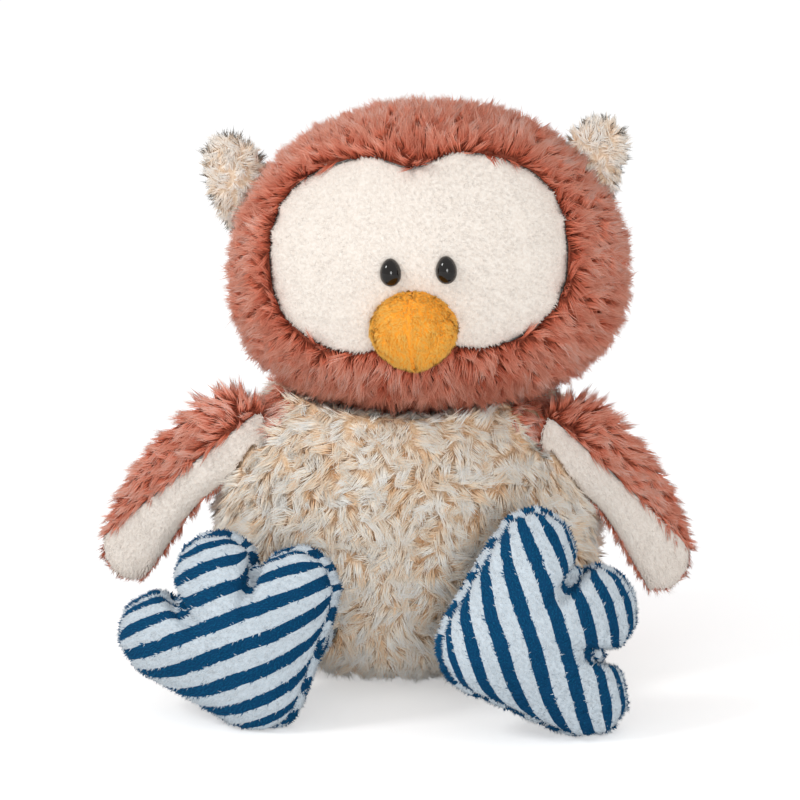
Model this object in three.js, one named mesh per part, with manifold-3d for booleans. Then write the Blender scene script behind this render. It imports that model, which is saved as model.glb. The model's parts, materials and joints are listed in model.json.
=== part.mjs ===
// A sitting plush owl, about 23 cm high, in millimetres with +Z up.
// It faces -Y, +X is on the viewer's right, and the origin is the middle of the flat seat.
import * as THREE from 'three';
import { mergeVertices } from 'three/addons/utils/BufferGeometryUtils.js';
import Module from 'manifold-3d';

const wasm = await Module();
wasm.setup();

const { cos, sin, sqrt, abs, exp, max, acos, atan2, PI } = Math;
const degrees = PI / 180;

// Cloth and sewing
const clothThickness = 2.4; // backing and the dense foot of the pile
const seamGap = 0.3; // between two panels that are sewn edge to edge
const fillingGap = 0.4; // between a cover and what it holds
const flatDepth = 0.5; // how far a stuffed form is pressed flat where it stands
const overrun = 2; // how far a cutting solid passes what it cuts
const joinedWithin = 1e-4; // corners nearer than this are one corner

// Body
const bodyLevel = 58; // height of its widest place
const body = { width: 76, depth: 58, up: 70, down: bodyLevel + flatDepth, round: 2.1, above: 2.4, below: 2.8 };
const sideSeam = 8; // the seam between belly and back lies this far behind the middle
const pelletHeight = 16;
const stuffingDrop = 19; // from the neck's middle down to the level top of the body's stuffing

// Neck: the head turns and nods on a ball of stuffing
const neck = new THREE.Vector3(3, -3, 112);
const neckBallRadius = 24;
const neckClearance = 0.6;
const neckNod = 8.5 * degrees; // how far the head nods either way
const neckTurn = 25 * degrees;
const chinClearance = 3.4; // between the body's hollow top and the head as it nods and turns

// Head
const head = { width: 77, depth: 57, up: 66, down: 48, round: 2.1, above: 2.1, below: 2.6 };
const headPlace = new THREE.Vector3(8, -8, neck.z + head.down);
const headTurn = -6 * degrees;
const headLean = -5 * degrees;
const headTilt = -3.5 * degrees;

// Face panel, as seen from the front: two lobes that meet in a dip above the beak and in another behind it
const mask = { width: 57, height: 38.5, level: 11.5, squareness: 2.6 };
const crownDip = { depth: 6.5, spread: 15 * degrees };
const chinDip = { depth: 9, spread: 26 * degrees };

// Beak
const beak = { width: 17, height: 15.4, reach: 18, level: -15.8, sideways: -1 };
const beakCloth = 1.8;

// Safety eyes
const eye = { width: 8, height: 10.6, dome: 4, shank: 2.4, spread: 21, level: 6.6, sideways: 1.9 };
// The dome's outline from its top to its rim, as shares of the half width and of the dome's height
const eyeShares = [[0, 1], [0.4, 0.93], [0.75, 0.72], [0.95, 0.4], [1, 0.12]];
const eyeFootShare = 0.96; // of the half width, where the dome sits on the face
const eyeSeatGap = 0.3;
const washer = { radius: 5, thickness: 1.4, bore: 1.7 };

// Ear tufts: the sideways shares are of the head's width, and the crown's share is of the ear's width
const ear = { width: 12, low: 6, high: 12, thickness: 6, level: 36.5, back: 6, splay: 24 * degrees };
const earSideShares = { left: 0.94, right: 0.83 };
const earCrownShare = 0.85;
const earRingShares = [0, 0.6, 0.9, 1];

// Wings
const wing = { root: 15.5, tip: 13.5, length: 80, bow: 6, cap: 5.5, front: 4.6, back: 5.4 };
const wingCloth = 2;
const wingClearance = 0.9;
const rootClearance = 1; // round the rolled root of a wing, so that it turns freely
const wingSink = 1.2; // how deep a wing's rolled root lies in the shoulder
const shoulderRise = 36 * degrees; // above the body's widest level
// The outer panel rolls over to the front. Its hem runs from the inner side at the root to the outer side at the tip.
const hem = { root: 2, tip: 11 };
const wingPoses = {
  left: { side: -1, hang: 41 * degrees, yaw: 22 * degrees, bearing: 72 * degrees },
  right: { side: 1, hang: 38 * degrees, yaw: 28 * degrees, bearing: 65 * degrees },
};

// Feet: three toes that fan out from the heel
const foot = { heel: 16, front: 12, back: 10, palm: 18, web: 25 };
const toe = { reach: 45, innerReach: 41, radius: 14, middleRadius: 16.2, fan: 46 * degrees };
const toes = [
  { name: 'outer', reach: toe.reach, angle: toe.fan, radius: toe.radius },
  { name: 'middle', reach: toe.reach, angle: 0, radius: toe.middleRadius },
  { name: 'inner', reach: toe.innerReach, angle: -toe.fan, radius: toe.radius },
];
const ankleUp = 12; // from the heel's middle towards the toes
const ankleSink = 1; // the flat in the back of the foot where the leg is sewn on
const footPoses = {
  left: { side: -1, out: 63, front: 77, roll: 24 * degrees, yaw: 15 * degrees },
  right: { side: 1, out: 45, front: 91, roll: 75 * degrees, yaw: 12 * degrees },
};
const footLean = 12 * degrees;

// Legs
const leg = { hip: 16, thigh: 11.5, ankle: 13 };
const hip = { out: 44, front: 48, level: 27 };
const legClearance = 0.7;

// Mesh steps
const bodySteps = [22, 13];
const innerSteps = [18, 9];
const sweepSteps = [16, 8];
const beakSteps = [18, 10];
const neckSteps = [24, 14];
const hipSteps = [16, 8];
const legSteps = 16;
const arcSteps = 4;
const maskSteps = [32, 1];
const eyeSteps = 18;
// Steps round a pad's edge, and how much closer they lie at its ends than along its sides
const padSteps = { foot: [30, 1], wing: [22, 2.4], ear: [16, 1.2] };
const stringSteps = { toe: 8, wing: 12, ear: 6 };

const palette = {
  russet: [0xaf6455, 0.95],
  beige: [0xdcc3a6, 0.95],
  cream: [0xf0e8de, 0.9],
  tuft: [0xead8c4, 0.95],
  orange: [0xff9f35, 0.9],
  stripe: [0x7fa3b4, 0.92],
  black: [0x0b0908, 0.08],
  nylon: [0xe8e6e0, 0.5],
  stuffing: [0xf4f2ec, 1],
  pellets: [0xc9c4b8, 0.9],
};

// A geometry as a solid with merged corners and its faces outwards.
function solidOf(geometry) {
  const bare = geometry.clone();
  for (const name of Object.keys(bare.attributes)) {
    if (name !== 'position') bare.deleteAttribute(name);
  }
  const merged = mergeVertices(bare, joinedWithin);
  const index = Array.from(merged.index.array);
  const corners = [];
  for (let i = 0; i < index.length; i += 3) {
    const [a, b, c] = index.slice(i, i + 3);
    if (a !== b && b !== c && c !== a) corners.push(a, b, c);
  }
  const made = (triVerts) => new wasm.Manifold(new wasm.Mesh({
    numProp: 3,
    vertProperties: merged.attributes.position.array,
    triVerts: new Uint32Array(triVerts),
  }));
  const solid = made(corners);
  if (solid.volume() > 0) return solid;
  const turned = [];
  for (let i = 0; i < corners.length; i += 3) turned.push(corners[i], corners[i + 2], corners[i + 1]);
  return made(turned);
}

// The largest body of a solid as a geometry, without the crumbs that a cut can leave.
function geometryOf(solid) {
  const bodies = solid.decompose();
  const largest = bodies.reduce((a, b) => (a.volume() > b.volume() ? a : b));
  const mesh = largest.getMesh();
  const geometry = new THREE.BufferGeometry();
  geometry.setAttribute('position', new THREE.BufferAttribute(new Float32Array(mesh.vertProperties), 3));
  geometry.setIndex(Array.from(mesh.triVerts));
  const flat = geometry.toNonIndexed();
  flat.computeVertexNormals();
  return flat;
}

function piece(name, finish, solid, parent) {
  const [color, roughness] = palette[finish];
  const material = new THREE.MeshStandardMaterial({ color, roughness, metalness: 0 });
  const mesh = new THREE.Mesh(geometryOf(solid), material);
  mesh.name = name;
  parent.add(mesh);
  return mesh;
}

// Distance from the middle of a stuffed form to its skin in a direction.
// Level sections are rounded ellipses; the form swells to its widest level and tapers up and down.
function skinDistance(form, direction, inset = 0) {
  const upwards = direction.z >= 0;
  const rise = (upwards ? form.up : form.down) - inset;
  const power = upwards ? form.above : form.below;
  const across = abs(direction.x / (form.width - inset)) ** form.round;
  const along = abs(direction.y / (form.depth - inset)) ** form.round;
  return ((across + along) ** (power / form.round) + abs(direction.z / rise) ** power) ** (-1 / power);
}

function stuffedForm(form, inset = 0, steps = bodySteps) {
  const geometry = new THREE.SphereGeometry(1, ...steps);
  geometry.rotateX(PI / 2);
  const place = geometry.attributes.position;
  const point = new THREE.Vector3();
  for (let i = 0; i < place.count; i += 1) {
    point.fromBufferAttribute(place, i).normalize();
    point.multiplyScalar(skinDistance(form, point, inset));
    place.setXYZ(i, point.x, point.y, point.z);
  }
  return solidOf(geometry);
}

// A form that is larger all round, for cutting what is sewn against it
function grownForm(form, margin, steps = bodySteps) {
  const { width, depth, up, down } = form;
  const grown = { width: width + margin, depth: depth + margin, up: up + margin, down: down + margin };
  return stuffedForm({ ...form, ...grown }, 0, steps);
}

// The skin's depth in front of a place on a form: the -Y side, at x and z.
function frontOf(form, x, z) {
  const rise = z >= 0 ? form.up : form.down;
  const power = z >= 0 ? form.above : form.below;
  const level = (1 - abs(z / rise) ** power) ** (form.round / power);
  return -form.depth * (level - abs(x / form.width) ** form.round) ** (1 / form.round);
}

const slopeShare = 0.001; // of a form's width, over which its slope is taken
function skinNormal(form, x, z) {
  const step = form.width * slopeShare;
  const y = frontOf(form, x, z);
  const acrossX = new THREE.Vector3(step, frontOf(form, x + step, z) - y, 0);
  const acrossZ = new THREE.Vector3(0, frontOf(form, x, z + step) - y, step);
  return acrossX.cross(acrossZ).normalize();
}

function block(low, high) {
  const size = new THREE.Vector3().subVectors(high, low);
  const middle = new THREE.Vector3().addVectors(low, high).multiplyScalar(0.5);
  return solidOf(new THREE.BoxGeometry(size.x, size.y, size.z).translate(middle.x, middle.y, middle.z));
}

// Half of space on one side of a plane square to an axis, as a block much larger than the toy.
const farShare = 4; // of the toy's height
const farAway = farShare * (body.up + head.up);
function beyond(axis, place, side) {
  const low = new THREE.Vector3(-farAway, -farAway, -farAway);
  const high = new THREE.Vector3(farAway, farAway, farAway);
  (side > 0 ? low : high)[axis] = place;
  return block(low, high);
}

function ball(center, radius, steps) {
  const geometry = new THREE.SphereGeometry(radius, ...steps).rotateX(PI / 2);
  return solidOf(geometry.translate(center.x, center.y, center.z));
}

// A solid moved by an object's placing, or back into its frame.
function moved(solid, matrix) {
  return solid.transform(matrix.toArray());
}

function frame(parent, place, ...turns) {
  const group = new THREE.Group();
  group.position.copy(place);
  for (const [axis, angle] of turns) group.rotateOnAxis(axis, angle);
  parent.add(group);
  group.updateWorldMatrix(true, false);
  return group;
}

const xAxis = new THREE.Vector3(1, 0, 0);
const yAxis = new THREE.Vector3(0, 1, 0);
const zAxis = new THREE.Vector3(0, 0, 1);

// A pad whose edge follows an outline: rings from the middle of its front to the middle of its back.
// A ring holds its share of the way out, how far it lies inside the outline, and its height.
function ringedPad(outline, rings, [segments, closeness]) {
  const points = [];
  const index = [];
  for (const ring of rings) {
    for (let i = 0; i < segments; i += 1) {
      const turn = 2 * PI * i / segments;
      const angle = atan2(sin(turn), closeness * cos(turn));
      const reach = max(outline(angle) - ring.inset, 0) * ring.share;
      points.push(reach * sin(angle), ring.height, reach * cos(angle));
    }
  }
  for (let k = 0; k + 1 < rings.length; k += 1) {
    for (let i = 0; i < segments; i += 1) {
      const next = (i + 1) % segments;
      const a = k * segments + i;
      const b = k * segments + next;
      const c = a + segments;
      const d = b + segments;
      index.push(a, b, d, a, d, c);
    }
  }
  const geometry = new THREE.BufferGeometry();
  geometry.setAttribute('position', new THREE.Float32BufferAttribute(points, 3));
  geometry.setIndex(index);
  return solidOf(geometry);
}

// How a stuffed pad's height falls from 1 in the middle to 0 at its seam.
const outerShares = [0, 0.5, 0.78, 0.93, 1];
const innerShares = [1, 0.85, 0.5, 0];
const padRound = 2.6; // how full a pad is between its middle and its seam
const padHeight = (share) => sqrt(1 - share ** padRound);

// One cloth panel of a pad: a thin dish from the seam up to its crown. side is -1 for the front.
function padPanel(outline, crown, cloth, side, steps) {
  const edge = side * seamGap / 2;
  const outer = outerShares.map((share) => ({
    share,
    inset: 0,
    height: edge + side * crown * padHeight(share),
  }));
  const inner = innerShares.map((share) => ({
    share,
    inset: cloth,
    height: edge + side * (crown - cloth) * padHeight(share),
  }));
  return ringedPad(outline, [...outer, ...inner], steps);
}

// A whole pad, front and back, that lies inside the outline by an inset.
function wholePad(outline, front, back, inset, shares, steps) {
  const outwards = shares.slice().sort((a, b) => a - b);
  const inwards = outwards.slice(0, -1).reverse();
  const rings = [
    ...outwards.map((share) => ({ share, inset, height: -(front - inset) * padHeight(share) })),
    ...inwards.map((share) => ({ share, inset, height: (back - inset) * padHeight(share) })),
  ];
  return ringedPad(outline, rings, steps);
}

function padFilling(outline, front, back, cloth, steps) {
  return wholePad(outline, front, back, cloth + fillingGap, innerShares, steps);
}

// The outline of circles strung along lines: the farthest that a ray from the pad's middle stays in one.
function strungOutline(circles) {
  return (angle) => {
    const reaches = circles.map(({ x, z, radius }) => {
      const along = x * sin(angle) + z * cos(angle);
      const aside = radius ** 2 - (x ** 2 + z ** 2 - along ** 2);
      return aside < 0 ? 0 : along + sqrt(aside);
    });
    return max(...reaches);
  };
}

// Circles from one to another along a line that bows out sideways in between.
function string(from, to, count, bow = 0) {
  const circles = [];
  for (let i = 0; i <= count; i += 1) {
    const share = i / count;
    circles.push({
      x: from.x + (to.x - from.x) * share + bow * sin(PI * share),
      z: from.z + (to.z - from.z) * share,
      radius: from.radius + (to.radius - from.radius) * share,
    });
  }
  return circles;
}

const group = new THREE.Group();

// Body
const bodyPlace = new THREE.Vector3(0, 0, bodyLevel);
const bodyFrame = frame(group, bodyPlace);
const headFrame = frame(group, headPlace, [zAxis, headTurn], [xAxis, headLean], [yAxis, headTilt]);
const neckInBody = neck.clone().sub(bodyPlace);
const toNeck = new THREE.Matrix4().makeTranslation(-neck.x, -neck.y, -neck.z);
const neckSocket = ball(neckInBody, neckBallRadius + neckClearance, neckSteps);

// Shoulders, where the wings hang, and hips, where the legs are sewn in
function wingFrame(pose) {
  const level = cos(shoulderRise);
  const outwards = new THREE.Vector3(pose.side * sin(pose.bearing) * level, -cos(pose.bearing) * level, sin(shoulderRise));
  const place = outwards.clone().multiplyScalar(skinDistance(body, outwards)).add(bodyPlace);
  place.addScaledVector(outwards, wing.cap + wingClearance - wingSink);
  return frame(group, place, [zAxis, pose.side * pose.yaw], [yAxis, -pose.side * pose.hang]);
}
const wingFrames = { left: wingFrame(wingPoses.left), right: wingFrame(wingPoses.right) };
const hipPlaces = {
  left: new THREE.Vector3(-hip.out, -hip.front, hip.level),
  right: new THREE.Vector3(hip.out, -hip.front, hip.level),
};

const toBody = new THREE.Matrix4().makeTranslation(-bodyPlace.x, -bodyPlace.y, -bodyPlace.z);
// A groove in a shoulder for the rolled root of a wing
function rootGroove(side, margin) {
  const radius = wing.cap + rootClearance + margin;
  const rod = new THREE.CylinderGeometry(radius, radius, 2 * (wing.root + margin), hipSteps[0]).rotateZ(PI / 2);
  return moved(solidOf(rod), toBody.clone().multiply(wingFrames[side].matrixWorld));
}

let bodySockets = neckSocket;
for (const side of ['left', 'right']) {
  bodySockets = bodySockets.add(ball(hipPlaces[side].clone().sub(bodyPlace), leg.hip + legClearance, hipSteps));
}

// The body's form: pressed flat under the seat, and hollowed where the head nods and turns
const headPose = new THREE.Object3D();
function headRoom(margin) {
  const around = grownForm(head, margin, sweepSteps);
  const placed = moved(around, headFrame.matrixWorld.clone().premultiply(toNeck));
  let room = null;
  for (const turn of [-neckTurn, 0, neckTurn]) {
    for (const nod of [-neckNod, neckNod]) {
      headPose.rotation.set(nod, 0, turn, 'ZXY');
      headPose.position.copy(neckInBody);
      headPose.updateMatrix();
      const reached = moved(placed, headPose.matrix);
      room = room ? room.add(reached) : reached;
    }
  }
  return room;
}

const pressedForm = (inset, steps) => stuffedForm(body, inset, steps).subtract(beyond('z', inset - bodyLevel, -1));
const bodyForm = (inset, steps) => pressedForm(inset, steps)
  .subtract(headRoom(chinClearance + inset))
  .subtract(rootGroove('left', inset))
  .subtract(rootGroove('right', inset));

const bodyShell = bodyForm(0, bodySteps).subtract(bodyForm(clothThickness, innerSteps)).subtract(bodySockets);
const behindSeam = beyond('y', sideSeam + seamGap / 2, 1);
const beforeSeam = beyond('y', sideSeam - seamGap / 2, -1);
piece('body_belly_panel', 'beige', bodyShell.intersect(beforeSeam), bodyFrame);
piece('body_back_panel', 'russet', bodyShell.intersect(behindSeam), bodyFrame);

const filling = clothThickness + fillingGap;
const pelletTop = filling - bodyLevel + pelletHeight;
const bodyInside = pressedForm(filling, innerSteps)
  .subtract(rootGroove('left', filling))
  .subtract(rootGroove('right', filling))
  .subtract(beyond('z', neckInBody.z - stuffingDrop, 1))
  .subtract(bodySockets);
piece('body_stuffing', 'stuffing', bodyInside.intersect(beyond('z', pelletTop + fillingGap, 1)), bodyFrame);
piece('pellet_bag', 'pellets', bodyInside.intersect(beyond('z', pelletTop, -1)), bodyFrame);

// Neck
const neckFrame = frame(group, neck);
piece('neck_stuffing', 'stuffing', ball(new THREE.Vector3(), neckBallRadius, neckSteps), neckFrame);

// Head
const neckInHead = headFrame.worldToLocal(neck.clone());
const headSocket = ball(neckInHead, neckBallRadius + neckClearance, neckSteps);
const headOutside = stuffedForm(head);
const headShell = headOutside
  .subtract(stuffedForm(head, clothThickness, innerSteps))
  .subtract(headSocket);

function maskReach(angle) {
  const across = abs(sin(angle) / mask.width) ** mask.squareness;
  const along = abs(cos(angle) / mask.height) ** mask.squareness;
  const turn = abs(angle);
  const atCrown = crownDip.depth * exp(-((turn / crownDip.spread) ** 2));
  const atChin = chinDip.depth * exp(-(((PI - turn) / chinDip.spread) ** 2));
  return (across + along) ** (-1 / mask.squareness) - atCrown - atChin;
}

function maskBlock(margin) {
  const rings = [
    { share: 0, inset: -margin, height: -head.depth - overrun },
    { share: 1, inset: -margin, height: -head.depth - overrun },
    { share: 1, inset: -margin, height: -overrun },
    { share: 0, inset: -margin, height: -overrun },
  ];
  return ringedPad(maskReach, rings, maskSteps).translate([0, 0, mask.level]);
}

// Eyes: a domed oval on a shank through the face panel, held behind it by a washer
function eyeFrame(side) {
  const x = eye.sideways + side * eye.spread / 2;
  const outwards = skinNormal(head, x, eye.level);
  const seat = new THREE.Group();
  seat.position.set(x, frontOf(head, x, eye.level), eye.level);
  seat.quaternion.setFromUnitVectors(new THREE.Vector3(0, -1, 0), outwards);
  headFrame.add(seat);
  seat.updateMatrix();
  return seat;
}

function turnedPiece(profile, segments = eyeSteps) {
  const points = profile.map(([radius, height]) => new THREE.Vector2(radius, height));
  return solidOf(new THREE.LatheGeometry(points, segments));
}

const washerTop = clothThickness + fillingGap;
const washerFoot = washerTop + washer.thickness;
const shankEnd = washerFoot + overrun;
const eyeRadius = eye.width / 2;
const eyeProfile = [
  ...eyeShares.map(([across, along]) => [eyeRadius * across, -eye.dome * along]),
  [eyeRadius * eyeFootShare, -eyeSeatGap],
  [eye.shank / 2, -eyeSeatGap],
  [eye.shank / 2, shankEnd],
  [0, shankEnd],
];
const washerProfile = [
  [washer.bore, washerTop],
  [washer.radius, washerTop],
  [washer.radius, washerFoot],
  [washer.bore, washerFoot],
  [washer.bore, washerTop],
];
const eyeStretch = new THREE.Matrix4().makeScale(1, 1, eye.height / eye.width);
let faceHoles = null;
let headPockets = headSocket;
for (const [side, sense] of [['left', -1], ['right', 1]]) {
  const seat = eyeFrame(sense);
  piece(`eye_${side}`, 'black', moved(turnedPiece(eyeProfile), eyeStretch), seat);
  piece(`eye_washer_${side}`, 'nylon', turnedPiece(washerProfile), seat);
  const hole = turnedPiece([[0, -overrun], [washer.bore, -overrun], [washer.bore, washerTop], [0, washerTop]], eyeSteps);
  const pocketFoot = shankEnd + fillingGap;
  const pocketRadius = washer.radius + fillingGap;
  const pocket = moved(turnedPiece([
    [0, clothThickness],
    [pocketRadius, clothThickness],
    [pocketRadius, pocketFoot],
    [0, pocketFoot],
  ], eyeSteps), seat.matrix);
  const cut = moved(hole, seat.matrix).add(pocket);
  faceHoles = faceHoles ? faceHoles.add(cut) : cut;
  headPockets = headPockets.add(pocket);
}

piece('head_cover', 'russet', headShell.subtract(maskBlock(seamGap)), headFrame);
piece('face_mask', 'cream', headShell.intersect(maskBlock(0)).subtract(faceHoles), headFrame);
const headFilling = stuffedForm(head, filling, innerSteps).subtract(headPockets);
piece('head_stuffing', 'stuffing', headFilling, headFrame);

// Beak: a ball of two halves with an upright seam, drawn to a blunt point below
const beakForm = {
  width: beak.width, depth: beak.reach, up: beak.height, down: beak.height, round: 2, above: 2, below: 1.75,
};
const beakPlace = new THREE.Vector3(beak.sideways, frontOf(head, beak.sideways, beak.level), beak.level);
const beakFrame = frame(headFrame, beakPlace);
const toBeak = new THREE.Matrix4().makeTranslation(-beakPlace.x, -beakPlace.y, -beakPlace.z);
const headFace = moved(grownForm(head, seamGap), toBeak);
const beakOutside = stuffedForm(beakForm, 0, beakSteps);
const beakShell = beakOutside.subtract(stuffedForm(beakForm, beakCloth, hipSteps)).subtract(headFace);
const beakInside = stuffedForm(beakForm, beakCloth + fillingGap, hipSteps).subtract(headFace);
piece('beak_left_panel', 'orange', beakShell.subtract(beyond('x', -seamGap / 2, 1)), beakFrame);
piece('beak_right_panel', 'orange', beakShell.subtract(beyond('x', seamGap / 2, -1)), beakFrame);
piece('beak_stuffing', 'stuffing', beakInside, beakFrame);

// Ears: flat tufts that stand out from the sides of the crown
const earOutline = strungOutline(string(
  { x: 0, z: -ear.low, radius: ear.width },
  { x: 0, z: ear.high, radius: ear.width * earCrownShare },
  stringSteps.ear,
));
for (const [side, sense] of [['left', -1], ['right', 1]]) {
  const place = new THREE.Vector3(sense * head.width * earSideShares[side], ear.back, ear.level);
  const seat = frame(headFrame, place, [yAxis, sense * ear.splay]);
  seat.updateMatrix();
  const intoEar = seat.matrix.clone().invert();
  const tuft = wholePad(earOutline, ear.thickness, ear.thickness, 0, earRingShares, padSteps.ear)
    .subtract(moved(grownForm(head, seamGap), intoEar));
  piece(`ear_${side}`, 'tuft', tuft, seat);
}

// Wings: a flat flap of outer plush and lining round a thin wadding, hung at the shoulder
const wingMiddle = wing.length / 2;
const wingOutline = (side) => strungOutline(string(
  { x: 0, z: wingMiddle + wing.cap - wing.root, radius: wing.root },
  { x: 0, z: wingMiddle - wing.length, radius: wing.tip },
  stringSteps.wing,
  side * wing.bow,
));

// The room in front of a wing's middle and on the body's side of its hem, in the wing's frame.
function liningSide(side, margin) {
  const { side: sense } = wingPoses[side];
  const hemLine = new THREE.Group();
  hemLine.position.x = sense * (margin - hem.root);
  hemLine.rotateY(-sense * atan2(hem.root + hem.tip, wing.length));
  hemLine.updateMatrix();
  return moved(beyond('x', 0, -sense), hemLine.matrix).intersect(beyond('y', margin, -1));
}

for (const side of ['left', 'right']) {
  const seat = wingFrames[side];
  const intoWing = seat.matrixWorld.clone().invert().multiply(bodyFrame.matrixWorld);
  const bodyBulge = moved(grownForm(body, wingClearance).subtract(rootGroove(side, -rootClearance / 2)), intoWing);
  const lower = (solid) => solid.translate([0, 0, -wingMiddle]).subtract(bodyBulge);
  const outline = wingOutline(wingPoses[side].side);
  const flap = lower(wholePad(outline, wing.front, wing.back, 0, outerShares, padSteps.wing));
  const hollow = wholePad(outline, wing.front, wing.back, wingCloth, innerShares, padSteps.wing);
  const cloth = flap.subtract(hollow.translate([0, 0, -wingMiddle]));
  piece(`wing_${side}_outer`, 'russet', cloth.subtract(liningSide(side, seamGap)), seat);
  piece(`wing_${side}_lining`, 'cream', cloth.intersect(liningSide(side, 0)), seat);
  piece(`wing_${side}_wadding`, 'stuffing', lower(padFilling(outline, wing.front, wing.back, wingCloth, padSteps.wing)), seat);
}

// Feet and legs
const footOutline = (side) => strungOutline([
  { x: 0, z: 0, radius: foot.web },
  ...toes.flatMap(({ reach, angle, radius }) => string(
    { x: 0, z: -foot.palm, radius: foot.heel },
    { x: side * reach * sin(angle), z: reach * cos(angle) - foot.palm, radius },
    stringSteps.toe,
  )),
]);
// A leg's outline: a ball at the hip, a narrower thigh, and a swelling round the ankle
function legProfile(length, inset) {
  const points = [];
  const hipEnd = acos((leg.thigh - inset) / (leg.hip - inset));
  for (let i = 0; i <= arcSteps; i += 1) {
    const angle = -PI / 2 + (hipEnd + PI / 2) * i / arcSteps;
    points.push([max((leg.hip - inset) * cos(angle), 0), (leg.hip - inset) * sin(angle)]);
  }
  for (let i = 0; i <= arcSteps; i += 1) {
    const angle = PI / 2 * i / arcSteps;
    points.push([max((leg.ankle - inset) * cos(angle), 0), length + (leg.ankle - inset) * sin(angle)]);
  }
  points[0][0] = 0;
  points[points.length - 1][0] = 0;
  return points;
}

for (const [side, pose] of Object.entries(footPoses)) {
  const turns = [[zAxis, pose.side * pose.yaw], [xAxis, -footLean], [yAxis, pose.side * pose.roll]];
  const seat = frame(group, new THREE.Vector3(pose.side * pose.out, -pose.front, 0), ...turns);
  const outline = footOutline(pose.side);
  const footSole = padPanel(outline, foot.front, clothThickness, -1, padSteps.foot);
  const footBack = padPanel(outline, foot.back, clothThickness, 1, padSteps.foot);
  const footFill = padFilling(outline, foot.front, foot.back, clothThickness, padSteps.foot);
  const lowest = moved(footSole.add(footBack), seat.matrixWorld).boundingBox().min[2];
  seat.position.z = -lowest - flatDepth;
  seat.updateWorldMatrix(true, false);

  const floor = moved(beyond('z', 0, -1), seat.matrixWorld.clone().invert());
  const anklePlace = new THREE.Vector3(0, foot.back - ankleSink, ankleUp - foot.palm);
  const ankleFlat = new THREE.CylinderGeometry(leg.ankle + overrun, leg.ankle + overrun, foot.back, legSteps);
  ankleFlat.translate(anklePlace.x, anklePlace.y + foot.back / 2, anklePlace.z);
  piece(`foot_${side}_sole_panel`, 'stripe', footSole.subtract(floor), seat);
  piece(`foot_${side}_back_panel`, 'stripe', footBack.subtract(floor).subtract(solidOf(ankleFlat)), seat);
  piece(`foot_${side}_stuffing`, 'stuffing', footFill.subtract(floor), seat);

  // The leg lies between its ball at the hip and a flat round end against the foot.
  const ankle = seat.localToWorld(anklePlace.clone().add(new THREE.Vector3(0, fillingGap, 0)));
  const span = new THREE.Vector3().subVectors(ankle, hipPlaces[side]);
  const legFrame = frame(group, hipPlaces[side]);
  legFrame.quaternion.setFromUnitVectors(yAxis, span.clone().normalize());
  legFrame.updateWorldMatrix(true, false);
  const beyondAnkle = moved(
    beyond('y', anklePlace.y + fillingGap, -1),
    legFrame.matrixWorld.clone().invert().multiply(seat.matrixWorld),
  );
  const limb = (inset) => turnedPiece(legProfile(span.length(), inset), legSteps);
  const sleeve = limb(0).subtract(limb(clothThickness)).subtract(beyondAnkle);
  piece(`leg_${side}_sleeve`, 'stripe', sleeve, legFrame);
  piece(`leg_${side}_stuffing`, 'stuffing', limb(filling).subtract(beyondAnkle), legFrame);
}

export default group;
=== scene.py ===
import json
import math

import bpy
import numpy as np
from mathutils import Euler, Matrix, Vector, kdtree, noise
from mathutils.bvhtree import BVHTree


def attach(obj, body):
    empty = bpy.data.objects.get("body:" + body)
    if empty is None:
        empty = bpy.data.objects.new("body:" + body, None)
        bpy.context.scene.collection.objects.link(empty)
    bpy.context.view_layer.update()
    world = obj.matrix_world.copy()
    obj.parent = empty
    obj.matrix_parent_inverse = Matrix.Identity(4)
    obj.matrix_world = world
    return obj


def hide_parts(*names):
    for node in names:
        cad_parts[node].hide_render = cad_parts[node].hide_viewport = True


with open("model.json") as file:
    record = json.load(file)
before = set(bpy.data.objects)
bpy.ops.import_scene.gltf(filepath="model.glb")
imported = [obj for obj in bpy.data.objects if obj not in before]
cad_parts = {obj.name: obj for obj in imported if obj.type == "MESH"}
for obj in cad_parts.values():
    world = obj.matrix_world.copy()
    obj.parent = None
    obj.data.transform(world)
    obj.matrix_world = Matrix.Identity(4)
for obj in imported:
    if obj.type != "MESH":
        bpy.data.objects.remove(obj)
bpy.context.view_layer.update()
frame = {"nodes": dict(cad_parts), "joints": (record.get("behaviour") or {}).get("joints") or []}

nodes = frame["nodes"]
joints = {joint["name"]: joint for joint in frame["joints"]}

# Sizes in metres
mm = 0.001
cloth_clearance = 0.2 * mm  # above the floor
strand_clearance = 0.4 * mm
down = np.array((0.0, 0.0, -1.0))


def turning(*turns):
    """The matrix of turns about a frame's own axes, one after the other."""
    matrix = np.eye(3)
    for axis, angle in turns:
        matrix = matrix @ np.array(Matrix.Rotation(math.radians(angle), 3, axis))
    return matrix


# The head's frame, as the model turns it
head_place = np.array((8.0, -8.0, 160.0)) * mm
head_matrix = turning(("Z", -6.0), ("X", -5.0), ("Y", -3.5))
head_forward = head_matrix @ np.array((0.0, -1.0, 0.0))
head_up = head_matrix @ np.array((0.0, 0.0, 1.0))
mask_middle = head_place + head_matrix @ (np.array((0.0, -57.0, 10.0)) * mm)
body_middle = np.array((0.0, 0.0, 58.0)) * mm


# Small helpers

def unit(vectors):
    lengths = np.linalg.norm(vectors, axis=-1, keepdims=True)
    return vectors / np.maximum(lengths, 1e-12)


def flat_on(normals, vectors):
    """The part of each vector that lies along the cloth."""
    return unit(vectors - normals * (vectors * normals).sum(-1, keepdims=True))


def swirl(points, size, seed):
    """Smooth values from -1 to 1 that wander over a distance of size."""
    return np.array([noise.noise(Vector(p) / size + Vector((seed, 1.7 * seed, 0.3))) for p in points])


def turned(vectors, normals, angles):
    """Each vector turned about its normal."""
    return vectors * np.cos(angles)[:, None] + np.cross(normals, vectors) * np.sin(angles)[:, None]


def only(obj):
    bpy.ops.object.select_all(action="DESELECT")
    obj.select_set(True)
    bpy.context.view_layer.objects.active = obj


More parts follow.
